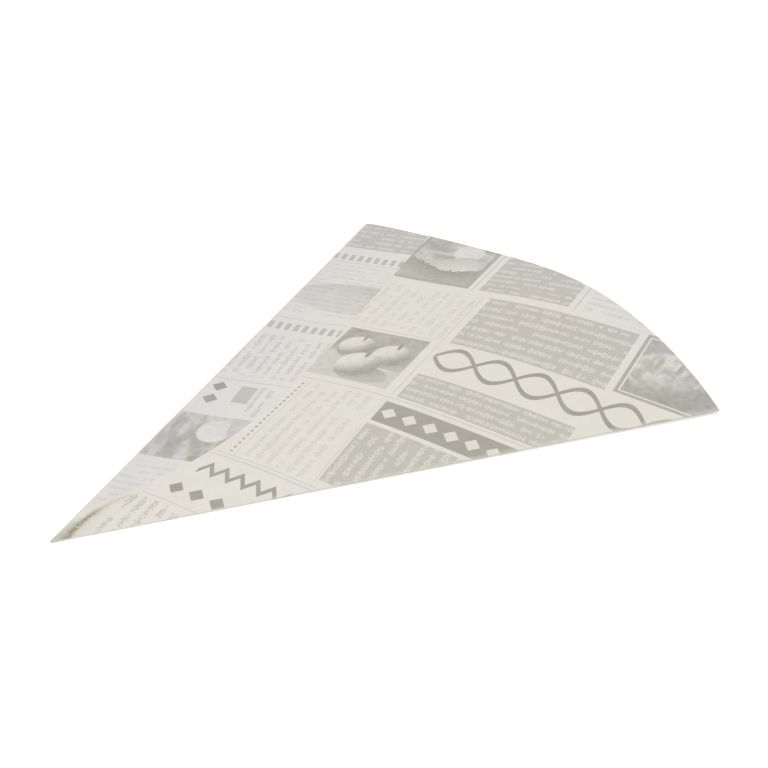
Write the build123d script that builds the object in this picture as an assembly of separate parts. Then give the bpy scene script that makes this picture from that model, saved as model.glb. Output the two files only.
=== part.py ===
"""Paper fry cone lying flat: one printed sheet, folded at both sides and pasted along a lap seam."""
from build123d import *
import os
from math import cos, pi, radians, sin, tan

# The sheet, in millimetres and degrees
slant_length = 240.0  # from the tip to the mouth edge, along the paper
panel_angle = 49.4  # between the two side folds
paper_thickness = 0.1

# The lap seam on the upper face, measured from the left fold
free_edge_inset = 33.0  # from the left fold to the edge of the panel on top
lap_width = 12.0  # pasted strip where the glue flap lies under that panel
free_edge_straight_from = 108.0  # the edge runs parallel to the fold from here to the mouth
free_edge_bends_until = 19.0  # and bends towards the fold until this distance from the tip
free_edge_margin = 0.8  # left between the edge and the fold from there to the tip

# How the cone gapes as it lies: the upper face swells, more to the right of the middle
swell_height = 6.1  # rise of the even part of the swell at the mouth
lean_height = 2.4  # rise that moves the top of the swell to the right
flattening = 0.4  # takes a little off the top of the swell
fold_radius_at_mouth = 0.9  # the folds are soft at the mouth and pressed tight at the tip

# The pressed tip
nose_cut = 1.3  # the tip is blunt by this much
closed_length = 10.0  # the paper is pressed shut up to here

# The pleat beside the tip, where the pasted edge has buckled up
pleat_height = 0.7
pleat_width = 3.6
pleat_start = 5.0
pleat_end = 27.0
pleat_inset_at_start = 3.0  # from the left fold
pleat_inset_at_end = 8.4

layers_at_tip = 3  # lower face, glue flap and upper panel lie on each other
crown_points = 9  # points of the spline that follows the swell
fold_arcs_per_side = 4  # short arcs that turn the paper round a side fold
overrun = 6.0  # by which the cutting and lofted solids run past the sheet
half_angle = radians(panel_angle / 2)
loft_end = slant_length + overrun


def fold_radius(distance):
    """Radius of the side folds at a distance from the tip, along the middle line."""
    tight = layers_at_tip * paper_thickness / 2
    return tight + (fold_radius_at_mouth - tight) * distance / slant_length


def swell(share, distance):
    """Rise of the upper face; share runs from 0 at the right fold to 1 at the left fold."""
    at_mouth = (
        swell_height * sin(pi * share)
        + lean_height * sin(2 * pi * share)
        - flattening * sin(3 * pi * share)
    )
    return at_mouth * distance / slant_length / cos(half_angle * (1 - 2 * share))


def fold_arcs(across, floor, top, side):
    """Half circle round a side fold, in short arcs from the floor up; side is 1 right, -1 left."""
    radius = (top - floor) / 2

    def on_fold(turn):
        angle = pi * turn / fold_arcs_per_side
        return (across + side * radius * sin(angle), floor + radius * (1 - cos(angle)))

    return [
        ThreePointArc(on_fold(turn), on_fold(turn + 0.5), on_fold(turn + 1))
        for turn in range(fold_arcs_per_side)
    ]


def section(distance, floor, sunk):
    """Cross-section whose floor is raised and whose upper line is lowered by the given amounts.

    It goes straight down past its floor, so that one flat cut can make the floor.
    """
    soft = fold_radius(distance)
    half_width = distance * tan(half_angle) - soft
    top = 2 * soft - sunk
    crown = []
    for step in range(crown_points):
        share = step / (crown_points - 1)
        across = half_width * tan(half_angle * (1 - 2 * share)) / tan(half_angle)
        crown.append((across, top + swell(share, distance)))
    below = Polyline(
        (-half_width, floor),
        (-half_width, floor - overrun),
        (half_width, floor - overrun),
        (half_width, floor),
    )
    outline = Wire([
        *below.edges(),
        *fold_arcs(half_width, floor, top, 1),
        Spline(*crown),
        *fold_arcs(-half_width, floor, top, -1),
    ])
    plane = Plane((0, distance, 0), x_dir=(1, 0, 0), z_dir=(0, -1, 0))
    return plane * make_face(outline)


def flattened_cone(start, floor, sunk):
    """Solid between a section near the tip and one just past the mouth, with a flat floor."""
    swollen = loft([section(start, floor, sunk), section(loft_end, floor, sunk)], ruled=True)
    size = 4 * slant_length
    below = Pos(0, 0, floor - size / 2) * Box(size, size, size)
    return swollen - below


def from_left_fold(along, inset):
    """Place on the sheet, by its distance along the left fold and in from that fold."""
    return (
        inset * cos(half_angle) - along * sin(half_angle),
        inset * sin(half_angle) + along * cos(half_angle),
    )


def column(outline):
    """Upright cutting solid over a flat outline."""
    return Pos(0, 0, -slant_length / 4) * extrude(make_face(outline), amount=slant_length / 2)


def under_the_top_panel():
    """Region that the panel on top covers, up to its free edge and its bend towards the tip."""
    far = slant_length + overrun
    straight = Line(
        from_left_fold(far, free_edge_inset),
        from_left_fold(free_edge_straight_from, free_edge_inset),
    )
    bend = TangentArc(
        straight @ 1,
        from_left_fold(free_edge_bends_until, free_edge_margin),
        tangent=straight % 1,
    )
    rest = Polyline(
        bend @ 1,
        from_left_fold(-far, free_edge_margin),
        (far, -far),
        (far, far),
        straight @ 0,
    )
    return column(Wire([straight, bend, *rest.edges()]))


def past_the_glue_flap():
    """Region to the right of the hidden edge of the glue flap."""
    hidden = free_edge_inset + lap_width
    far = 2 * slant_length
    return column(Polyline(
        from_left_fold(-slant_length, hidden),
        from_left_fold(far, hidden),
        from_left_fold(far, far),
        from_left_fold(-slant_length, far),
        close=True,
    ))


def pleat():
    """Small ridge where the end of the free edge has buckled beside the tip."""
    sections = []
    inset_step = pleat_inset_at_end - pleat_inset_at_start
    for share, fullness in ((0, 0.35), (0.45, 1), (1, 0.15)):
        along = pleat_start + share * (pleat_end - pleat_start)
        inset = pleat_inset_at_start + share * inset_step
        x, y = from_left_fold(along, inset)
        base = 2 * fold_radius(y) - paper_thickness / 2
        ridge = Plane((x, y, base), x_dir=(1, 0, 0), z_dir=(0, -1, 0)) * make_face(Polyline(
            (-pleat_width / 2 * fullness, 0),
            (pleat_width / 2 * fullness, 0),
            (-pleat_width / 6 * fullness, pleat_height * fullness),
            close=True,
        ))
        sections.append(ridge)
    return loft(sections)


def paper_cone():
    """Sheet with its folds, its two-layer lap, its open mouth and its pressed tip."""
    lower_and_flap = flattened_cone(nose_cut, 0, paper_thickness)
    top_panel = flattened_cone(nose_cut, 0, 0) & under_the_top_panel()
    room_under_flap = flattened_cone(closed_length, paper_thickness, 2 * paper_thickness)
    room_under_panel = flattened_cone(closed_length, paper_thickness, paper_thickness)
    inside = room_under_flap + (room_under_panel & past_the_glue_flap())
    sheet = lower_and_flap + top_panel + pleat() - inside
    return sheet & Sphere(slant_length)


middle = (nose_cut + slant_length) / 2
os.makedirs("parts", exist_ok=True)
cone = Pos(0, -middle, 0) * paper_cone()
export_step(cone, "parts/paper_cone.step")
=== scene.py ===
"""Paper fry cone lying flat: a printed sheet, folded at both sides and pasted along a lap seam."""

import math

import bpy
import numpy as np
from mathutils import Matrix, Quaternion, Vector


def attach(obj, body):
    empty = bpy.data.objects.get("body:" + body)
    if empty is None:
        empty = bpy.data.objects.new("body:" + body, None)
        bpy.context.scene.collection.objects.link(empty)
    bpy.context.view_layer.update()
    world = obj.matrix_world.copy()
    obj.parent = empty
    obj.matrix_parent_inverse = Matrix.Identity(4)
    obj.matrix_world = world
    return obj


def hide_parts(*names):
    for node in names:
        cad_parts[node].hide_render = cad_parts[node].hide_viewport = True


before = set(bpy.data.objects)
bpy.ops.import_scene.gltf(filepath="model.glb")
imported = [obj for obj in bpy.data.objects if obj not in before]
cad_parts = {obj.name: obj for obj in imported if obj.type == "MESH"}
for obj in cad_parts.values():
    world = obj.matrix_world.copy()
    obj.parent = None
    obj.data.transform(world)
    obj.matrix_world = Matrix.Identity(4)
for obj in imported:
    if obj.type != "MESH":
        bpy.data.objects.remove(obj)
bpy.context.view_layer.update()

to_metres = 0.001

# The sheet, with the same named values as the CAD part, in millimetres and degrees.
slant_length = 240.0
panel_angle = math.radians(49.4)
half_angle = panel_angle / 2
paper_thickness = 0.1
nose_cut = 1.3
middle = (nose_cut + slant_length) / 2

# The lap seam, measured from the left fold.
free_edge_inset = 33.0
lap_width = 12.0
free_edge_straight_from = 108.0
free_edge_bends_until = 19.0
free_edge_margin = 0.8
paste_gap = 0.03

# How the cone gapes as it lies.
swell_height = 6.1
lean_height = 2.4
flattening = 0.4
fold_radius_at_mouth = 0.9  # of the CAD part
crisp_radius_at_mouth = 0.22  # of the paper itself
layers_at_tip = 3
pressed_radius = layers_at_tip * (paper_thickness + paste_gap) / 2
spring = 6  # the higher it is, the closer to the folds the lower panel's sides spring up

# The grid that is folded up, in faces across each strip of the sheet and along all of them.
faces_on_top_panel = 76
faces_on_fold = 8
faces_on_lower_panel = 30
faces_on_flap = 30
faces_along = 124
even_rows = 0.33  # share of the length that is cut into rows of one size
closer_rows = 0.67  # share that is cut into rows that get closer towards the tip
fitting_rounds = 4
first_guess = 0.6  # place between the middle line and a fold from which the fitting starts
widest_sine = 0.9  # limits near the tip, where the strips get narrow
narrowest_share = 0.015
smooth_below = math.radians(40)  # edges that turn more than this stay sharp

# Slow waves in the upper face, as radians for each millimetre from the tip and for the panel's
# whole width, and a ripple across it that starts on the way to the mouth.
wave_height = 0.22
long_wave = (0.050, 5.2)
longer_wave = (0.021, -9)
longer_wave_part = 0.6
waves_part = 0.6
ripple_part = 0.7
ripple_turns = 15
ripple_shift = 1.1
ripple_begins = (150, slant_length)

# The top panel's edge lifts here and there. Pairs are where a change starts and is complete,
# in millimetres along the left fold.
lifted_edge = 0.16
lift_level = 0.55
lift_change = 0.45
lift_turns = (0.071, 0.023)
lift_shift = 0.8
lift_fades_over = 1.6
lift_begins = (24, 40)

# Beside the tip the edge has buckled: a lip, then a crease, then a puff.
buckle_begins = (2, 9)
buckle_ends = (24, 34)
lip_height = 0.75
lip_offset = 1.75
lip_width = 1.15
crease_inset = 4.6
crease_bends_from = 12
crease_bend = 0.0195
crease_depth = 0.07
crease_width = 0.9
puff_height = 0.25
puff_offset = 3.2
puff_width = 1.9

# Dirt with painted shade there: on the lip, in the crease, and smeared beyond it as the lip's
# painted shadow.
dirt_and_shade_begins = (1, 4)
paling_of_dirt_and_shade = (18, 24)
dirt_and_shade_pales_by = 0.65
dirt_and_shade_ends = (26, 37)
dirt_and_shade_edge_at_tip = 1.3
dirt_and_shade_edge_further_up = 0.85
dirt_and_shade_edge_narrows = (9, 18)
lip_shade_and_dirt_strength = 0.5
lip_shade_and_dirt_width = 5.0
lip_shade_and_dirt_ends = (8, 15)
dirt_and_shade_core_width = 1.2
dirt_and_shade_core_part = 0.55
dirt_and_shade_smear_length = 2.5
dirt_and_shade_smear_part = 0.45

# Worn folds, and worn corners at the mouth.
fold_wear_width = 0.9
worn_corner = 1.2
worn_corner_width = 2.2
worn_corner_length = 12


def as_colour(red, green, blue):
    """Linear colour of an sRGB colour given from 0 to 255."""
    def linear(value):
        value /= 255
        return value / 12.92 if value <= 0.04045 else ((value + 0.055) / 1.055) ** 2.4
    return (linear(red), linear(green), linear(blue), 1.0)


white = (1, 1, 1, 1)
warm_paper = as_colour(224, 221, 210)
rosy_paper = as_colour(224, 220, 212)
# Paper colour in painted cool shade, used on the glue flap and by the mouth.
paper_in_painted_shade = as_colour(218, 217, 214)
bare_inside = as_colour(226, 225, 217)
grey_ink = as_colour(150, 147, 134)
# Print colour in the same painted cool shade.
ink_in_painted_shade = as_colour(150, 149, 144)
# Brown-grey of the dirt and painted shade at the crease beside the tip.
brown_of_dirt_and_shade = as_colour(145, 139, 115)
tip_grey = as_colour(205, 202, 194)
floor_white = as_colour(231, 231, 231)


# Folding the sheet

def fold_radius(distance):
    """Radius of the side folds at a distance from the tip, along the middle line."""
    return pressed_radius + (fold_radius_at_mouth - pressed_radius) * distance / slant_length


def crisp_radius(distance):
    """Radius of the paper itself there, which is folded more sharply than the CAD part."""
    return pressed_radius + (crisp_radius_at_mouth - pressed_radius) * distance / slant_length


def swell(share, distance):
    """Rise of the upper face; share runs from 0 at the right fold to 1 at the left fold."""
    at_mouth = (
        swell_height * math.sin(math.pi * share)
        + lean_height * math.sin(2 * math.pi * share)
        - flattening * math.sin(3 * math.pi * share)
    )
    return at_mouth * distance / slant_length / math.cos(half_angle * (1 - 2 * share))


def smooth_step(value, low, high):
    """Eases from 0 at low to 1 at high."""
    share = min(1.0, max(0.0, (value - low) / (high - low)))
    return share * share * (3 - 2 * share)


def hump(value, width):
    """Rounded bump, 1 in the middle."""
    return math.exp(-(value / width) ** 2)


def free_edge(along):
    """How far in from the left fold the edge of the top panel lies."""
    run = free_edge_straight_from - free_edge_bends_until
    drop = free_edge_inset - free_edge_margin
    bend_radius = (run * run + drop * drop) / (2 * drop)
    into_bend = min(run, max(0.0, free_edge_straight_from - along))
    return free_edge_inset - bend_radius + math.sqrt(bend_radius ** 2 - into_bend ** 2)


def crease(along):
    """How far in from the left fold the crease beside the tip lies."""
    return crease_inset + crease_bend * max(0.0, along - crease_bends_from) ** 2


def share_at(inset, reach):
    """Share of the panel at a distance in from the left fold; reach is the distance to the tip."""
    past_fold = inset - fold_radius(reach * math.cos(half_angle))
    turn = math.asin(min(widest_sine, max(0.0, past_fold / reach)))
    return max(narrowest_share, 1 - turn / panel_angle)


def free_edge_share(reach):
    """Share at which the top panel ends."""
    inset = free_edge(reach)
    for _ in range(fitting_rounds):
        inset = free_edge(math.sqrt(max(0.0, reach ** 2 - inset ** 2)))
    return share_at(inset, reach)


def handling(share, distance):
    """Waves that handling has left in the upper face."""
    def wave(turns):
        along, across = turns
        return math.sin(along * distance + across * share)

    waves = wave(long_wave) + longer_wave_part * wave(longer_wave)
    ripple = math.sin(ripple_turns * share + ripple_shift) * smooth_step(distance, *ripple_begins)
    height = wave_height * math.sin(math.pi * share)
    return height * (waves_part * waves + ripple_part * ripple)


def handled_edge(along, inset):
    """Rise of the top panel where its edge lifts, and where it has buckled beside the tip."""
    from_edge = max(0.0, inset - free_edge(along))
    quick, slow = lift_turns
    change = lift_change * math.sin(quick * along + lift_shift) * math.sin(slow * along)
    rise = lifted_edge * (lift_level + change) * math.exp(-from_edge / lift_fades_over)
    rise *= smooth_step(along, *lift_begins)
    buckled = smooth_step(along, *buckle_begins) * (1 - smooth_step(along, *buckle_ends))
    from_crease = inset - crease(along)
    rise += buckled * lip_height * hump(from_crease + lip_offset, lip_width)
    rise += buckled * puff_height * hump(from_crease - puff_offset, puff_width)
    rise -= buckled * crease_depth * hump(from_crease, crease_width)
    return rise


def crease_dirt_and_shade(along, inset):
    """How much dirt and painted shade lie by the crease beside the tip, from the lip to the smear
    of painted shadow beyond it.
    """
    fade = smooth_step(along, *dirt_and_shade_begins)
    fade *= 1 - dirt_and_shade_pales_by * smooth_step(along, *paling_of_dirt_and_shade)
    fade *= 1 - smooth_step(along, *dirt_and_shade_ends)
    beyond = inset - crease(along)
    if beyond < 0:
        narrowing = dirt_and_shade_edge_at_tip - dirt_and_shade_edge_further_up
        width = dirt_and_shade_edge_at_tip - narrowing * smooth_step(along, *dirt_and_shade_edge_narrows)
        in_crease = hump(beyond, width)
        on_lip = lip_shade_and_dirt_strength * hump(beyond, lip_shade_and_dirt_width)
        on_lip *= 1 - smooth_step(along, *lip_shade_and_dirt_ends)
        return fade * (in_crease + on_lip * (1 - in_crease))
    core = dirt_and_shade_core_part * hump(beyond, dirt_and_shade_core_width)
    return fade * (core + dirt_and_shade_smear_part * math.exp(-beyond / dirt_and_shade_smear_length))


def across_panel(share, distance):
    """Distance from the middle line of a share of a panel."""
    half_width = distance * math.tan(half_angle) - crisp_radius(distance)
    return half_width * math.tan(half_angle * (1 - 2 * share)) / math.tan(half_angle)


def on_upper_face(share, distance, sunk):
    """Place on the upper face; sunk lowers the glue flap under the top panel."""
    rise = swell(share, distance) + handling(share, distance)
    return (across_panel(share, distance), distance, 2 * fold_radius(distance) - sunk + rise)


def on_top_panel(share, distance, reach):
    """Place on the top panel, with its lifted and buckled edge."""
    across, _, height = on_upper_face(share, distance, 0)
    turn = half_angle + math.atan2(across, distance)
    height += handled_edge(reach * math.cos(turn), reach * math.sin(turn))
    return (across, distance, height)


def on_fold(side, turn, distance, sunk):
    """Place round a side fold; turn runs from 0 on the table to 1 on the upper face."""
    radius = crisp_radius(distance) - sunk / 2
    middle_height = 2 * fold_radius(distance) - sunk - radius
    angle = math.pi * turn
    return (
        side * (across_panel(0, distance) + radius * math.sin(angle)),
        distance,
        middle_height - radius * math.cos(angle),
    )


def on_lower_panel(share, distance):
    """Place on the panel that lies on the table; its sides spring up a little to the folds."""
    at_fold = 2 * (fold_radius(distance) - crisp_radius(distance))
    return (across_panel(share, distance), distance, at_fold * abs(1 - 2 * share) ** spring)


def stations():
    """The strips that the sheet is folded from, as (strip, share of the strip) for each column."""
    strips = [
        ("top panel", faces_on_top_panel),
        ("right fold", faces_on_fold),
        ("lower panel", faces_on_lower_panel),
        ("left fold", faces_on_fold),
        ("glue flap", faces_on_flap),
    ]
    columns = []
    for strip, faces in strips:
        columns += [(strip, step / faces) for step in range(faces)]
    columns.append(("glue flap", 1.0))
    return columns


def folded_place(strip, share, distance, reach):
    """Where a point of the sheet lies once it is folded."""
    flap_drop = paper_thickness + paste_gap
    if strip == "top panel":
        edge = free_edge_share(reach)
        return on_top_panel(edge * (1 - share), distance, reach)
    if strip == "right fold":
        return on_fold(1, 1 - share, distance, 0)
    if strip == "lower panel":
        return on_lower_panel(share, distance)
    if strip == "left fold":
        return on_fold(-1, share, distance, flap_drop)
    hidden = share_at(free_edge_inset + lap_width, reach)
    return on_upper_face(1 - share * (1 - hidden), distance, flap_drop)


def fitted_place(strip, share, reach):
    """Where a point of the sheet lies at its true distance from the tip, less a worn corner."""
    distance = reach * math.cos(half_angle * first_guess)
    for _ in range(fitting_rounds):
        across, along, height = folded_place(strip, share, distance, reach)
        in_from_left = reach * (half_angle + math.atan2(across, along))
        worn = worn_corner * math.exp(-in_from_left / worn_corner_width)
        worn *= smooth_step(reach, slant_length - worn_corner_length, slant_length)
        distance *= (reach - worn) / math.dist((0, 0, 0), (across, along, height))
    return folded_place(strip, share, distance, reach)


def reach_of_row(row):
    """Distance of a row from the tip along the paper; the rows are closer near the tip."""
    share = row / faces_along
    share_of_length = even_rows * share + closer_rows * share * share
    return nose_cut + (slant_length - nose_cut) * share_of_length


def folded_rows():
    """Places, flat places, crease dirt with painted shade, and fold wear of the whole grid, row by
    row.
    """
    columns = stations()
    right_fold = faces_on_top_panel + faces_on_fold // 2
    left_fold = right_fold + faces_on_fold + faces_on_lower_panel
    places = []
    flat_places = []
    marks = []
    for row in range(faces_along + 1):
        reach = reach_of_row(row)
        ring = np.array([fitted_place(strip, share, reach) for strip, share in columns])
        rays = ring / np.linalg.norm(ring, axis=1)[:, None]
        steps = np.linalg.norm(np.diff(rays, axis=0), axis=1)
        turns = np.concatenate([[0.0], np.cumsum(steps)])
        from_right = reach * np.abs(turns - turns[right_fold])
        from_left = reach * np.abs(turns - turns[left_fold])
        wear = np.exp(-(np.minimum(from_right, from_left) / fold_wear_width) ** 2)
        turns = turns[right_fold] - turns
        seen_from_above = half_angle + np.arctan2(ring[:, 0], ring[:, 1])
        # Dirt with painted shade by the crease, on the top panel only.
        dirty_shade = np.zeros(len(columns))
        for column, turn in enumerate(seen_from_above[:faces_on_top_panel]):
            dirty_shade[column] = crease_dirt_and_shade(reach * math.cos(turn), reach * math.sin(turn))
        places.append(ring)
        flat_places.append(np.stack([reach * np.cos(turns), reach * np.sin(turns)], axis=1))
        marks.append(np.stack([dirty_shade, wear], axis=1))
    return np.array(places), np.array(flat_places), np.array(marks)


def fold_up_the_sheet():
    """Grid of paper folded into the flat cone, with its flat sheet as its UV map in millimetres."""
    columns = len(stations()) - 1
    bpy.ops.object.select_all(action="DESELECT")
    bpy.ops.mesh.primitive_grid_add(x_subdivisions=columns, y_subdivisions=faces_along, size=1)
    sheet = bpy.context.object
    sheet.name = "folded_paper_cone"
    places, flat_places, marks = folded_rows()
    flat_map = sheet.data.uv_layers[0]
    flat_map.name = "flat_sheet"
    grid_place = {}
    for point in sheet.data.vertices:
        column = round((point.co.x + 0.5) * columns)
        row = round((point.co.y + 0.5) * faces_along)
        grid_place[point.index] = (row, column)
    for corner in sheet.data.loops:
        flat_map.data[corner.index].uv = flat_places[grid_place[corner.vertex_index]]
    dirty_shade = sheet.data.attributes.new("crease_dirt_and_shade", "FLOAT", "POINT")
    wear = sheet.data.attributes.new("fold_wear", "FLOAT", "POINT")
    for point in sheet.data.vertices:
        across, along, height = places[grid_place[point.index]]
        point.co = Vector((across, along - middle, height)) * to_metres
        dirty_shade.data[point.index].value, wear.data[point.index].value = marks[grid_place[point.index]]
    return sheet


def give_thickness(sheet):
    """Thickens the sheet inwards; the inside and the cut edges are bare paper."""
    solid = sheet.modifiers.new("paper thickness", "SOLIDIFY")
    solid.thickness = paper_thickness * to_metres
    solid.offset = -1
    solid.use_even_offset = True
    solid.material_offset = 1
    solid.material_offset_rim = 1
    bpy.ops.object.select_all(action="DESELECT")
    sheet.select_set(True)
    bpy.context.view_layer.objects.active = sheet
    bpy.ops.object.modifier_apply(modifier=solid.name)
    bpy.ops.object.shade_smooth_by_angle(angle=smooth_below)


# Placing nodes

def add_node(tree, kind, **settings):
    """A node with its settings."""
    made = tree.nodes.new(kind)
    for name, value in settings.items():
        setattr(made, name, value)
    return made


def feed(tree, socket, source):
    """Gives a socket a number, a colour or another node's output."""
    if isinstance(source, bpy.types.NodeSocket):
        tree.links.new(source, socket)
    elif source is not None:
        socket.default_value = source


def work_out(tree, operation, first, second=None, third=None, clamp=False):
    """One step of arithmetic."""
    made = add_node(tree, "ShaderNodeMath", operation=operation, use_clamp=clamp)
    for socket, source in zip(made.inputs, (first, second, third)):
        feed(tree, socket, source)
    return made.outputs[0]


def ramp(tree, value, low, high):
    """Eases from 0 at low to 1 at high."""
    made = add_node(tree, "ShaderNodeMapRange", interpolation_type="SMOOTHSTEP")
    feed(tree, made.inputs["Value"], value)
    made.inputs["From Min"].default_value = low
    made.inputs["From Max"].default_value = high
    return made.outputs["Result"]


def fall(tree, value, low, high):
    """Eases from 1 at low to 0 at high."""
    return work_out(tree, "SUBTRACT", 1.0, ramp(tree, value, low, high))


def pair(tree, first, second):
    """Flat place made of two numbers."""
    made = add_node(tree, "ShaderNodeCombineXYZ")
    for socket, source in zip(made.inputs, (first, second)):
        feed(tree, socket, source)
    return made.outputs[0]


def apart(tree, place):
    """The two numbers of a flat place."""
    made = add_node(tree, "ShaderNodeSeparateXYZ")
    tree.links.new(place, made.inputs[0])
    return made.outputs[0], made.outputs[1]


def moved(tree, place, **changes):
    """A place that is turned or scaled."""
    made = add_node(tree, "ShaderNodeMapping")
    tree.links.new(place, made.inputs["Vector"])
    for name, value in changes.items():
        made.inputs[name].default_value = value
    return made.outputs[0]


def mottle(tree, place, scale, detail=2.0, dimensions="3D"):
    """Smooth random value round 0.5."""
    made = add_node(tree, "ShaderNodeTexNoise", noise_dimensions=dimensions)
    feed(tree, made.inputs["Vector"], place)
    made.inputs["Scale"].default_value = scale
    made.inputs["Detail"].default_value = detail
    return made.outputs[0]


def blend_numbers(tree, share, first, second):
    """Mix of two numbers."""
    made = add_node(tree, "ShaderNodeMix", data_type="FLOAT")
    feed(tree, made.inputs[0], share)
    feed(tree, made.inputs[2], first)
    feed(tree, made.inputs[3], second)
    return made.outputs[0]


def blend_colours(tree, share, first, second, how="MIX"):
    """Mix of two colours."""
    made = add_node(tree, "ShaderNodeMix", data_type="RGBA", blend_type=how)
    feed(tree, made.inputs[0], share)
    feed(tree, made.inputs[6], first)
    feed(tree, made.inputs[7], second)
    return made.outputs[2]


def new_group(name, inputs, outputs):
    """Empty node group with its input and output nodes; Place is a vector, the rest are numbers."""
    tree = bpy.data.node_groups.new(name, "ShaderNodeTree")
    for in_out, sockets in (("INPUT", inputs), ("OUTPUT", outputs)):
        for socket in sockets:
            kind = "NodeSocketVector" if socket == "Place" else "NodeSocketFloat"
            tree.interface.new_socket(name=socket, in_out=in_out, socket_type=kind)
    return tree, add_node(tree, "NodeGroupInput"), add_node(tree, "NodeGroupOutput")


def use_group(tree, group, **sources):
    """Places a group; a socket's name is given with _ for its spaces."""
    made = add_node(tree, "ShaderNodeGroup", node_tree=group)
    for name, source in sources.items():
        feed(tree, made.inputs[name.replace("_", " ")], source)
    return made


# Groups for the print and the paper
# Pairs are where an edge starts and is complete. Scales and changes are for each millimetre.

block_crispness = 6.0


def printed_block_group():
    """Prints a value over what lies under it, inside a rectangle."""
    tree, given, result = new_group(
        "printed block",
        ["Under", "Across", "Up", "Left", "Right", "Low", "High", "Ink"],
        ["Ink"],
    )
    across = given.outputs["Across"]
    up = given.outputs["Up"]
    from_sides = work_out(
        tree, "MINIMUM",
        work_out(tree, "SUBTRACT", across, given.outputs["Left"]),
        work_out(tree, "SUBTRACT", given.outputs["Right"], across),
    )
    from_ends = work_out(
        tree, "MINIMUM",
        work_out(tree, "SUBTRACT", up, given.outputs["Low"]),
        work_out(tree, "SUBTRACT", given.outputs["High"], up),
    )
    nearest_edge = work_out(tree, "MINIMUM", from_sides, from_ends)
    inside = work_out(tree, "MULTIPLY_ADD", nearest_edge, block_crispness, 0.5, clamp=True)
    printed = blend_numbers(tree, inside, given.outputs["Under"], given.outputs["Ink"])
    tree.links.new(printed, result.inputs["Ink"])
    return tree


row_seed_step = 7.31  # makes each row's marks differ from those of the row before
mark_height = 0.38  # of the tallest marks, either way from the middle of their row
mark_height_change = 0.8
mark_edge = (-0.02, 0.08)
word_change = 0.23
word_gap = (0.38, 0.44)
stroke_change = 1.5
stroke_change_across = 1.1
stroke_edge = (0.36, 0.60)
stroke_depth = 0.85


def small_print_group():
    """Rows of faint irregular marks of the size of small type, with gaps as between words."""
    tree, given, result = new_group("small print", ["Along", "Across", "Pitch"], ["Marks"])
    along = given.outputs["Along"]
    rows = work_out(tree, "DIVIDE", given.outputs["Across"], given.outputs["Pitch"])
    row = work_out(tree, "FLOOR", rows)
    in_row = work_out(tree, "FRACT", rows)
    row_seed = work_out(tree, "MULTIPLY", row, row_seed_step)

    def along_the_row(change, detail):
        place = pair(tree, work_out(tree, "MULTIPLY", along, change), row_seed)
        return mottle(tree, place, 1.0, detail, "2D")

    tall = work_out(tree, "MULTIPLY", along_the_row(mark_height_change, 0.0), mark_height)
    from_line = work_out(tree, "ABSOLUTE", work_out(tree, "SUBTRACT", in_row, 0.5))
    past_line = work_out(tree, "SUBTRACT", from_line, tall)
    on_line = fall(tree, past_line, *mark_edge)
    words = ramp(tree, along_the_row(word_change, 1.0), *word_gap)
    stroke_place = pair(
        tree,
        work_out(tree, "MULTIPLY", along, stroke_change),
        work_out(tree, "MULTIPLY_ADD", given.outputs["Across"], stroke_change_across, row_seed),
    )
    strokes = ramp(tree, mottle(tree, stroke_place, 1.0, 2.0, "2D"), *stroke_edge)
    marks = work_out(tree, "MULTIPLY", on_line, words)
    strokes = work_out(tree, "MULTIPLY_ADD", strokes, stroke_depth, 1 - stroke_depth)
    marks = work_out(tree, "MULTIPLY", marks, strokes)
    tree.links.new(marks, result.inputs["Marks"])
    return tree


braid_length = 34
braid_sway = 6.8
strand_edge = (1.05, 1.45)
tooth_length = 3.2
tooth_height = 4.8
tooth_edge = (1.1, 1.6)
diamond_step = 4.2  # from the middle of a diamond to the middle of the gap beside it
diamond_edge = (2.9, 3.3)


def border_group():
    """Plain printer's borders: a two-strand braid, a zigzag and a row of diamonds."""
    tree, given, result = new_group(
        "printer's borders", ["Along", "Across"], ["Braid", "Zigzag", "Diamonds"])
    along = given.outputs["Along"]
    across = given.outputs["Across"]
    sway = work_out(tree, "SINE", work_out(tree, "MULTIPLY", along, 2 * math.pi / braid_length))
    strand = work_out(tree, "MULTIPLY", sway, braid_sway)
    one = work_out(tree, "ABSOLUTE", work_out(tree, "SUBTRACT", across, strand))
    other = work_out(tree, "ABSOLUTE", work_out(tree, "ADD", across, strand))
    nearest = work_out(tree, "MINIMUM", one, other)
    tree.links.new(fall(tree, nearest, *strand_edge), result.inputs["Braid"])
    teeth = work_out(tree, "PINGPONG", along, tooth_length)
    tooth_slope = tooth_height / tooth_length
    teeth = work_out(tree, "MULTIPLY_ADD", teeth, tooth_slope, -tooth_height / 2)
    from_teeth = work_out(tree, "ABSOLUTE", work_out(tree, "SUBTRACT", teeth, across))
    tree.links.new(fall(tree, from_teeth, *tooth_edge), result.inputs["Zigzag"])
    step = work_out(tree, "PINGPONG", work_out(tree, "ADD", along, diamond_step), diamond_step)
    slope = work_out(tree, "ADD", step, work_out(tree, "ABSOLUTE", across))
    tree.links.new(fall(tree, slope, *diamond_edge), result.inputs["Diamonds"])
    return tree


form_edge = (0.93, 1.05)  # in the form's own radii
form_shade = (-0.5, 1.45)
form_rim_shade = 0.6


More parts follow.
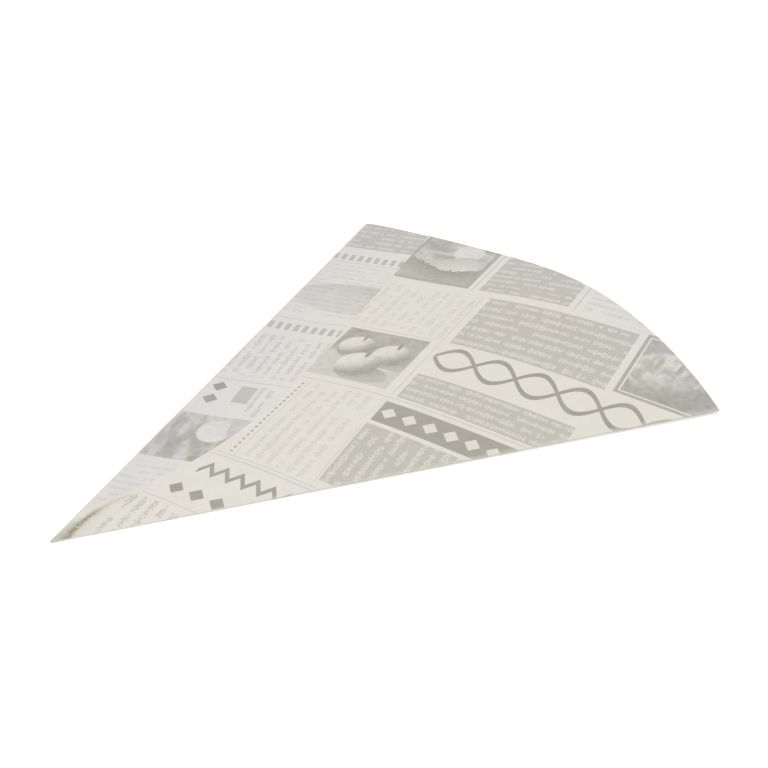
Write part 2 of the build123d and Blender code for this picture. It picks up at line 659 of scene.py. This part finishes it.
def round_form_group():
    """A soft round form in a printed picture: pale where it is lit, with a darker far side."""
    tree, given, result = new_group(
        "round form",
        ["Under", "Across", "Up", "Centre across", "Centre up", "Half width", "Half height",
         "Lit ink", "Shaded ink"],
        ["Ink"],
    )
    x = work_out(tree, "SUBTRACT", given.outputs["Across"], given.outputs["Centre across"])
    x = work_out(tree, "DIVIDE", x, given.outputs["Half width"])
    y = work_out(tree, "SUBTRACT", given.outputs["Up"], given.outputs["Centre up"])
    y = work_out(tree, "DIVIDE", y, given.outputs["Half height"])
    size = work_out(tree, "MULTIPLY_ADD", x, x, work_out(tree, "MULTIPLY", y, y))
    size = work_out(tree, "SQRT", size)
    inside = fall(tree, size, *form_edge)
    low_side = work_out(tree, "SUBTRACT", x, y)
    far_side = work_out(tree, "MULTIPLY_ADD", size, form_rim_shade, low_side)
    shade = ramp(tree, far_side, *form_shade)
    ink = blend_numbers(tree, shade, given.outputs["Lit ink"], given.outputs["Shaded ink"])
    printed = blend_numbers(tree, inside, given.outputs["Under"], ink)
    tree.links.new(printed, result.inputs["Ink"])
    return tree


fibre_squeeze = (0.35, 1.6, 1.0)
fibre_scale = 2.2
formation_scale = 0.16
speck_scale = 3.1
fibre_part = 0.45
formation_part = 0.55


def paper_grain_group():
    """Fibres, cloudy formation and small specks of thin greaseproof paper."""
    tree, given, result = new_group("paper grain", ["Place"], ["Tone", "Height"])
    place = given.outputs["Place"]
    fibres = mottle(tree, moved(tree, place, Scale=fibre_squeeze), fibre_scale, 4.0)
    formation = mottle(tree, place, formation_scale, 3.0)
    specks = mottle(tree, place, speck_scale)
    tone = work_out(tree, "MULTIPLY", formation, formation_part)
    tone = work_out(tree, "MULTIPLY_ADD", fibres, fibre_part, tone)
    tree.links.new(tone, result.inputs["Tone"])
    tree.links.new(work_out(tree, "ADD", fibres, specks), result.inputs["Height"])
    return tree


# The shop's print is set on lines that lie at this angle to the right fold.
print_turn = math.radians(45)

# How far apart the lines of type are set, in millimetres.
row_pitch = 4.1
large_pitch = 5.3
column_pitch = 4.4
fine_pitch = 3.4
pitch_of_rows = {
    "rows": row_pitch,
    "dark rows": row_pitch,
    "tint rows": row_pitch,
    "large tint rows": large_pitch,
}
pitch_of_columns = {
    "columns": column_pitch,
    "dark columns": column_pitch,
    "tint columns": column_pitch,
}

# How strongly each kind of block is printed, as a share of full ink.
light_type = 0.24
fine_type = 0.22
dark_rows = 0.40
dark_columns = 0.46
tint_level = 0.44
tint_change = 0.12
type_left_pale = 0.38  # how much paler type in a tint is than the tint
large_type_left_pale = 0.40
rule_ink = 0.42
pale_ink = 0.02
frame_ink = 0.72
border_ink = 0.9
banner_ink = 0.85
banner_shapes = 0.8
dot_ink = 0.75
rung_ink = 0.55

# Rows of dots and ladders: half a step, and the edge of each mark from the middle of a gap.
dot_step = 1.3
dot_edge = (0.55, 0.75)
rung_step = 1.9
rung_edge = (0.75, 1.0)

# How the ink varies within the pictures and the tints.
uneven_scale = 0.09
ragged_scale = 0.5
cloud_squeeze = (1.0, 2.6, 1.0)
cloud_scale = 0.07
cloud_edge = (0.42, 0.66)
picture_grain_scale = 0.42
picture_grain = 0.5
picture_level = 0.45
picture_change = 0.5

# A landscape: sun and hills, nearest last, as
# (share of the picture's height, ink at the crest, radians for each millimetre, roughness).
cloud_ink = 0.28
sun_shift = (5, 6)
sun_size = (7, 7)
sun_inks = (0.04, 0.12)
hill_lines = ((0.47, 0.42, 0.19, 0.5), (0.25, 0.9, 0.13, 6.0))
hill_height = 3.5
hill_edge = 0.4
paler_downhill = 0.025

# Fruit on a table, as (share across, share up, radius), each with a cast shadow, a body and a
# stalk, as (shift, half size, lit ink, shaded ink) in the fruit's radii.
table_share = 0.52
table_ink = 0.3
table_edge = 1.5
fruits = ((0.27, 0.66, 0.21), (0.73, 0.60, 0.22), (0.47, 0.33, 0.25))
fruit_parts = (
    ((0.5, -0.65), (1.3, 0.6), 0.8, 0.55),
    ((0, 0), (1, 0.92), 0.02, 0.85),
    ((0.05, 0.86), (0.1, 0.3), 0.9, 0.9),
)

# A loaf on a board, from the picture's lower left corner.
board_height = 9
board_ink = 0.75
board_edge = 0.6
loaf_centre = (17, 15)
loaf_size = (20, 14.5)
loaf_shade = 0.8
crust_scale = 0.17
crust_edge = (0.38, 0.62)
crust_change = 0.42
crust_level = 0.12
cut_shifts = (-9, -1, 7)
cut_rise = 4
cut_size = (1.3, 5.5)
cut_inks = (0.72, 0.3)

# The soft oval under the fine type on the glue flap.
oval_shift = -6
oval_rise = 30
oval_size = (12, 29)
oval_inks = (0.2, 0.36)

# The print's layout: (kind, left, right, low, high) in millimetres on the print's own lines.
# What comes later is printed over what comes first.
layout = [
    # lower panel, which lies on the table
    ("tint columns", 196, 240, 60, 150),
    ("rows", 150, 192, 92, 150),
    ("fruit", 150, 193, 40, 88),
    ("columns", 197, 240, -12, 56),
    ("rows", 118, 192, 5, 36),
    ("columns", 119, 146, 41, 110),
    ("rows", 70, 114, -4, 12),
    ("frame", 70, 114, 14, 62),
    ("hills", 72, 112, 16, 60),
    ("zigzag", 40, 66, 8, 20),
    ("columns", 20, 37, 0, 18),
    # glue flap, beside the lap seam
    ("tint columns", 214, 240, -70, -12),
    ("ladder", 204, 209, -70, -12),
    ("rule", 202.0, 202.4, -70, -10),
    ("oval", 156, 201, -70, -9),
    ("rule", 151.6, 152.0, -70, -8),
    ("ladder", 143, 148, -70, -12),
    ("dark rows", 108, 138, -70, -8),
    ("rule", 104.0, 104.4, -70, -6),
    ("tint", 90, 101, -29, -22),
    ("dark rows", 82, 102, -37, -29),
    ("diamonds", 86, 102.8, -18, -9),
    ("hills", 52, 80, -60, -3),
    ("fine columns", 22, 49, -45, -2),
    # top panel, from the mouth down
    ("frame", 14, 52, 201, 246),
    ("hills", 16, 50, 203, 246),
    ("rule", 54.0, 54.5, 200, 240),
    ("tint rows", 57, 97, 201, 240),
    ("rule", 99.5, 100.0, 200, 240),
    ("rows", 103, 150, 201, 240),
    ("columns", 18, 60, 161, 195),
    ("large tint rows", 65, 129, 161, 198),
    ("frame", 132, 182, 160, 198),
    ("pale", 133.4, 180, 161.4, 196.6),
    ("loaf", 134.1, 179, 162.1, 195.9),
    ("fruit", 22, 58, 121, 157),
    ("braid", 64, 168, 139, 158),
    ("tint rows", 64, 128, 120, 136),
    ("rule", 20, 120, 117.2, 117.6),
    ("rule", 20, 60, 158.8, 159.1),
    ("rule", 61.6, 61.9, 120, 196),
    ("dots", 26.2, 27.1, 66, 115),
    ("rule", 28.7, 28.9, 66, 115),
    ("columns", 31, 57, 66, 115),
    ("banner", 62, 124, 103, 115),
    ("tint columns", 62, 140, 68, 101),
    ("rule", 20, 80, 64.1, 64.4),
    ("rule", 20, 80, 62.3, 62.7),
    ("rule", 60.4, 60.6, 66, 100),
    ("zigzag", 22, 66, 49, 60),
    ("diamonds", 17, 52, 37, 46),
    ("rule", 12, 52, 34.6, 34.9),
    ("dark columns", 9, 40, 9, 33),
]


def whole_lines(low, high, pitch):
    """Edges of a block moved so that they cut no line of type."""
    return round(low / pitch) * pitch, round(high / pitch) * pitch


def print_ink(tree, sheet_place):
    """How much ink lies at each place of the sheet, from the layout above."""
    place = moved(tree, sheet_place, Rotation=(0.0, 0.0, print_turn))
    left_right, low_high = apart(tree, place)
    small_print = small_print_group()

    def lines_of_type(along, across, pitch):
        made = use_group(tree, small_print, Along=along, Across=across, Pitch=pitch)
        return made.outputs["Marks"]

    rows = lines_of_type(left_right, low_high, row_pitch)
    large_rows = lines_of_type(left_right, low_high, large_pitch)
    columns = lines_of_type(low_high, left_right, column_pitch)
    fine = work_out(tree, "MULTIPLY", lines_of_type(low_high, left_right, fine_pitch), fine_type)
    borders = border_group()
    round_form = round_form_group()
    block = printed_block_group()
    uneven = mottle(tree, place, uneven_scale, 3.0)
    ragged = mottle(tree, place, ragged_scale)
    drawn_out = moved(tree, place, Scale=cloud_squeeze)
    clouds = ramp(tree, mottle(tree, drawn_out, cloud_scale, 3.0), *cloud_edge)
    grainy = mottle(tree, place, picture_grain_scale, 3.0)
    grainy = work_out(tree, "MULTIPLY_ADD", grainy, picture_grain, -picture_grain / 2)

    def picture_ground():
        return work_out(tree, "MULTIPLY_ADD", uneven, picture_change, picture_level)

    def round_thing(under, centre, size, lit_ink, shaded_ink):
        return use_group(
            tree, round_form, Under=under, Across=left_right, Up=low_high,
            Centre_across=centre[0], Centre_up=centre[1], Half_width=size[0], Half_height=size[1],
            Lit_ink=lit_ink, Shaded_ink=shaded_ink,
        ).outputs[0]

    def below_line(under, line, ink_here, softness):
        below = ramp(tree, work_out(tree, "SUBTRACT", line, low_high), -softness, softness)
        return blend_numbers(tree, below, under, ink_here)

    def hills(left, right, low, high):
        """Two hill lines, the near one wooded, under drifting cloud and a pale round sun."""
        ink = blend_numbers(tree, clouds, picture_ground(), cloud_ink)
        sun = ((left + right) / 2 + sun_shift[0], (low + high) / 2 + sun_shift[1])
        ink = round_thing(ink, sun, sun_size, *sun_inks)
        for share, crest_ink, turns, roughness in hill_lines:
            level = low + share * (high - low)
            crest = work_out(tree, "SINE", work_out(tree, "MULTIPLY", left_right, turns))
            crest = work_out(tree, "MULTIPLY_ADD", crest, hill_height, level)
            line = work_out(tree, "MULTIPLY_ADD", ragged, roughness, crest)
            downhill = work_out(tree, "SUBTRACT", line, low_high)
            slope_ink = work_out(tree, "MULTIPLY_ADD", downhill, -paler_downhill, crest_ink)
            ink = below_line(ink, line, slope_ink, hill_edge)
        return ink

    def fruit(left, right, low, high):
        """Three round fruits with stalks on a pale table, each with its cast shadow."""
        width = right - left
        height = high - low
        table = low + table_share * height
        ink = below_line(picture_ground(), table, table_ink, table_edge)
        for across, up, radius in fruits:
            size = radius * min(width, height)
            x = left + across * width
            y = low + up * height
            for shift, part, lit_ink, shaded_ink in fruit_parts:
                centre = (x + shift[0] * size, y + shift[1] * size)
                half_size = (part[0] * size, part[1] * size)
                ink = round_thing(ink, centre, half_size, lit_ink, shaded_ink)
        return ink

    def loaf(left, right, low, high):
        """A round crusty loaf, mottled with flour and cut across the top, on a dark board."""
        crust = ramp(tree, mottle(tree, place, crust_scale), *crust_edge)
        crust = work_out(tree, "MULTIPLY_ADD", crust, crust_change, crust_level)
        x = left + loaf_centre[0]
        y = low + loaf_centre[1]
        ink = below_line(picture_ground(), low + board_height, board_ink, board_edge)
        ink = round_thing(ink, (x, y), loaf_size, crust, loaf_shade)
        for shift in cut_shifts:
            ink = round_thing(ink, (x + shift, y + cut_rise), cut_size, *cut_inks)
        return ink

    def border(name, left, low, high):
        made = use_group(
            tree, borders,
            Along=work_out(tree, "SUBTRACT", left_right, left),
            Across=work_out(tree, "SUBTRACT", low_high, (low + high) / 2),
        )
        return made.outputs[name]

    def oval(left, right, low, high):
        """Fine type over a soft grey oval."""
        centre = ((left + right) / 2 + oval_shift, low + oval_rise)
        return work_out(tree, "ADD", round_thing(0.0, centre, oval_size, *oval_inks), fine)

    def banner(left, right, low, high):
        """Dark strip with a row of pale diamonds."""
        shapes = border("Diamonds", left, low, high)
        return work_out(tree, "MULTIPLY_ADD", shapes, -banner_shapes, banner_ink)

    pictures = {"hills": hills, "fruit": fruit, "loaf": loaf}
    drawn = {**pictures, "oval": oval, "banner": banner}

    light_rows = work_out(tree, "MULTIPLY", rows, light_type)
    light_columns = work_out(tree, "MULTIPLY", columns, light_type)
    tint = work_out(tree, "MULTIPLY_ADD", uneven, tint_change, tint_level)

    def left_pale(type_here, how_pale):
        return work_out(tree, "MULTIPLY_ADD", type_here, -how_pale, tint)

    inks = {
        "rows": light_rows,
        "columns": light_columns,
        "fine columns": fine,
        "tint": tint,
        "dark rows": work_out(tree, "MULTIPLY", rows, dark_rows),
        "dark columns": work_out(tree, "MULTIPLY", columns, dark_columns),
        "tint rows": left_pale(rows, type_left_pale),
        "large tint rows": left_pale(large_rows, large_type_left_pale),
        "tint columns": left_pale(columns, type_left_pale),
        "rule": rule_ink,
        "pale": pale_ink,
        "frame": frame_ink,
    }
    dots = ramp(tree, work_out(tree, "PINGPONG", low_high, dot_step), *dot_edge)
    inks["dots"] = work_out(tree, "MULTIPLY", dots, dot_ink)
    rungs = ramp(tree, work_out(tree, "PINGPONG", low_high, rung_step), *rung_edge)
    inks["ladder"] = work_out(tree, "MULTIPLY", rungs, rung_ink)

    ink = 0.0
    for kind, left, right, low, high in layout:
        if kind in pitch_of_rows:
            low, high = whole_lines(low, high, pitch_of_rows[kind])
        if kind in pitch_of_columns:
            left, right = whole_lines(left, right, pitch_of_columns[kind])
        if kind in drawn:
            here = drawn[kind](left, right, low, high)
        elif kind in ("braid", "zigzag", "diamonds"):
            shapes = border(kind.capitalize(), left, low, high)
            here = work_out(tree, "MULTIPLY", shapes, border_ink)
        else:
            here = inks[kind]
        if kind in pictures:
            here = work_out(tree, "ADD", here, grainy, clamp=True)
        ink = use_group(
            tree, block, Under=ink, Across=left_right, Up=low_high,
            Left=left, Right=right, Low=low, High=high, Ink=here,
        ).outputs["Ink"]
    return ink


# Materials

# How the print and the paper vary over the sheet, with painted cool shade on the glue flap and by
# the mouth.
ink_level = 0.72
ink_change = 0.5
ink_lost_at_folds = 0.45
mouth_shade_from = 0.93  # share of the slant length
mouth_shade_strength = 0.6
fold_edge = 0.5
shade_fades_from = 5.0  # millimetres past the left fold
shade_fades_by = 0.8
patch_scale = 0.035
patch_edge = (0.36, 0.64)
grey_tip = (9.0, 2.0)
tone_range = (0.35, 0.68)
darker_tone = (0.955, 0.955, 0.95, 1)
crease_mottle_scale = 0.7
crease_mottle_edge = (0.32, 0.62)
crease_mottle_part = 0.4
print_roughness = 0.50
print_roughness_change = 0.22
print_gloss = 0.35
bare_darker_tone = 0.94
bare_roughness = 0.6
bare_roughness_change = 0.2
bare_gloss = 0.3

# The relief of the surface, in metres, and the slow crumple in it.
relief_strength = 0.5
relief_height = 0.00003
crumple_scale = 0.045
crumple_part = 9.0


def new_material(name):
    """A material with its node tree and its shader."""
    made = bpy.data.materials.new(name)
    made.use_nodes = True
    return made, made.node_tree, made.node_tree.nodes["Principled BSDF"]


def flat_place(tree):
    """Place on the flat sheet, in millimetres."""
    return add_node(tree, "ShaderNodeUVMap", uv_map="flat_sheet").outputs[0]


def mark(tree, name):
    """How strong one of the sheet's own marks is; the crease mark holds dirt and painted shade."""
    return add_node(tree, "ShaderNodeAttribute", attribute_name=name).outputs["Fac"]


def finish_surface(tree, shader, colour, roughness, gloss, height):
    """Feeds the shader of a kind of paper."""
    tree.links.new(colour, shader.inputs["Base Color"])
    tree.links.new(roughness, shader.inputs["Roughness"])
    shader.inputs["Specular IOR Level"].default_value = gloss
    relief = add_node(tree, "ShaderNodeBump")
    relief.inputs["Strength"].default_value = relief_strength
    relief.inputs["Distance"].default_value = relief_height
    tree.links.new(height, relief.inputs["Height"])
    tree.links.new(relief.outputs[0], shader.inputs["Normal"])


def printed_paper(grain):
    """Outside of the sheet: off-white paper with grey print, handling marks and painted shade."""
    made, tree, shader = new_material("printed paper")
    flat = flat_place(tree)
    along_right_fold, from_right_fold = apart(tree, flat)
    to_tip = add_node(tree, "ShaderNodeVectorMath", operation="LENGTH")
    tree.links.new(flat, to_tip.inputs[0])
    reach = to_tip.outputs["Value"]
    turn = work_out(tree, "ARCTAN2", from_right_fold, along_right_fold)

    ink = print_ink(tree, flat)
    paper = use_group(tree, grain, Place=flat)
    tone = paper.outputs["Tone"]
    coverage = work_out(tree, "MULTIPLY_ADD", tone, ink_change, ink_level)
    worn_ink = work_out(tree, "MULTIPLY", ink, coverage)
    left_at_folds = work_out(tree, "MULTIPLY_ADD", mark(tree, "fold_wear"), -ink_lost_at_folds, 1.0)
    worn_ink = work_out(tree, "MULTIPLY", worn_ink, left_at_folds)

    # Painted cool shade: cooler, darker paper and ink near the mouth and on the glue flap, fading
    # towards the seam.
    near_mouth = ramp(tree, reach, slant_length * mouth_shade_from, slant_length)
    near_mouth = work_out(tree, "MULTIPLY", near_mouth, mouth_shade_strength)
    past_left_fold = work_out(tree, "SUBTRACT", -panel_angle, turn)
    past_left_fold = work_out(tree, "MULTIPLY", past_left_fold, reach)
    on_flap = ramp(tree, past_left_fold, -fold_edge, fold_edge)
    towards_seam = ramp(tree, past_left_fold, shade_fades_from, free_edge_inset)
    shade_on_flap = work_out(tree, "MULTIPLY_ADD", towards_seam, -shade_fades_by, 1.0)
    shade_on_flap = work_out(tree, "MULTIPLY", on_flap, shade_on_flap)
    shade_mask = work_out(tree, "MAXIMUM", near_mouth, shade_on_flap)
    patches = ramp(tree, mottle(tree, flat, patch_scale), *patch_edge)
    sheet_colour = blend_colours(tree, patches, warm_paper, rosy_paper)
    sheet_colour = blend_colours(tree, shade_mask, sheet_colour, paper_in_painted_shade)
    near_tip = ramp(tree, reach, *grey_tip)
    sheet_colour = blend_colours(tree, near_tip, sheet_colour, tip_grey)
    shade = blend_colours(tree, ramp(tree, tone, *tone_range), darker_tone, white)
    sheet_colour = blend_colours(tree, 1.0, sheet_colour, shade, "MULTIPLY")
    ink_colour = blend_colours(tree, shade_mask, grey_ink, ink_in_painted_shade)
    printed = blend_colours(tree, worn_ink, sheet_colour, ink_colour)

    # Dirt with painted shade by the crease beside the tip: on the lip, in the crease and as the
    # lip's shadow beyond it.
    dirty_shade = mark(tree, "crease_dirt_and_shade")
    patchiness = ramp(tree, mottle(tree, flat, crease_mottle_scale, 3.0), *crease_mottle_edge)
    patchiness = work_out(tree, "MULTIPLY_ADD", patchiness, crease_mottle_part, 1 - crease_mottle_part)
    mottled_dirt_and_shade = work_out(tree, "MULTIPLY", dirty_shade, patchiness)
    colour = blend_colours(tree, mottled_dirt_and_shade, printed, brown_of_dirt_and_shade)

    roughness = work_out(tree, "MULTIPLY_ADD", tone, print_roughness_change, print_roughness)
    crumple = work_out(tree, "MULTIPLY", mottle(tree, flat, crumple_scale), crumple_part)
    height = work_out(tree, "ADD", paper.outputs["Height"], crumple)
    finish_surface(tree, shader, colour, roughness, print_gloss, height)
    return made


def bare_paper(grain):
    """Inside and cut edges of the sheet, without print."""
    made, tree, shader = new_material("bare paper inside")
    paper = use_group(tree, grain, Place=flat_place(tree))
    tone = paper.outputs["Tone"]
    darker = tuple(bare_darker_tone * value for value in bare_inside[:3]) + (1.0,)
    colour = blend_colours(tree, ramp(tree, tone, *tone_range), darker, bare_inside)
    roughness = work_out(tree, "MULTIPLY_ADD", tone, bare_roughness_change, bare_roughness)
    finish_surface(tree, shader, colour, roughness, bare_gloss, paper.outputs["Height"])
    return made


# Floor, light and camera, in metres

floor_size = 12
floor_drop = 0.00005  # keeps the floor clear of the paper that lies on it
floor_roughness = 0.9
floor_lift = 0.46
light_all_round = 0.73
white_backdrop = 1.0
lamp_size = 1.4
lamp_power = 7.0
lamp_place = (0.15, -0.3, 1.3)
sensor_width = 36
focal_length = 61.09
camera_place = (0.31929, -0.23853, 0.27952)
camera_target = (0.00364, 0.01973, 0.0)
camera_roll = math.radians(-1.73)


def seen_as_background(tree):
    """1 for the rays that look straight at the background or see it in gloss and glass."""
    seen = add_node(tree, "ShaderNodeLightPath")
    rays = work_out(tree, "MAXIMUM", seen.outputs["Is Camera Ray"], seen.outputs["Is Glossy Ray"])
    return work_out(tree, "MAXIMUM", rays, seen.outputs["Is Transmission Ray"])


def white_floor():
    """Pale floor that looks white to the camera and keeps the cone's soft shadow."""
    bpy.ops.object.select_all(action="DESELECT")
    bpy.ops.mesh.primitive_plane_add(size=floor_size, location=(0, 0, -floor_drop))
    floor = bpy.context.object
    floor.name = "floor"
    made, tree, shader = new_material("pale floor")
    shader.inputs["Base Color"].default_value = floor_white
    shader.inputs["Roughness"].default_value = floor_roughness
    shader.inputs["Specular IOR Level"].default_value = 0.0
    shader.inputs["Emission Color"].default_value = white
    lift = work_out(tree, "MULTIPLY", seen_as_background(tree), floor_lift)
    tree.links.new(lift, shader.inputs["Emission Strength"])
    floor.data.materials.append(made)


def studio_light():
    """Even light from all round and one large soft lamp overhead, a little towards the camera."""
    world = bpy.data.worlds.new("studio")
    bpy.context.scene.world = world
    world.use_nodes = True
    tree = world.node_tree
    backdrop = tree.nodes["Background"]
    backdrop.inputs["Color"].default_value = white
    strength = blend_numbers(tree, seen_as_background(tree), light_all_round, white_backdrop)
    tree.links.new(strength, backdrop.inputs["Strength"])

    lamp = bpy.data.lights.new("soft box", "AREA")
    lamp.shape = "DISK"
    lamp.size = lamp_size
    lamp.energy = lamp_power
    holder = bpy.data.objects.new("soft box", lamp)
    bpy.context.collection.objects.link(holder)
    holder.location = lamp_place
    holder.rotation_euler = (-holder.location).to_track_quat("-Z", "Y").to_euler()


def camera_as_in_the_photo():
    """Camera at the photograph's viewing angle, fitted to the cone's outline."""
    lens = bpy.data.cameras.new("camera")
    lens.sensor_width = sensor_width
    lens.lens = focal_length
    camera = bpy.data.objects.new("camera", lens)
    bpy.context.collection.objects.link(camera)
    camera.location = camera_place
    aim = (Vector(camera_target) - camera.location).to_track_quat("-Z", "Y")
    camera.rotation_mode = "QUATERNION"
    camera.rotation_quaternion = aim @ Quaternion((0, 0, 1), camera_roll)
    bpy.context.scene.camera = camera


cone = fold_up_the_sheet()
grain = paper_grain_group()
cone.data.materials.append(printed_paper(grain))
cone.data.materials.append(bare_paper(grain))
give_thickness(cone)
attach(cone, "root")
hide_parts("paper_cone")

white_floor()
studio_light()
camera_as_in_the_photo()
bpy.context.scene.view_settings.view_transform = "Standard"
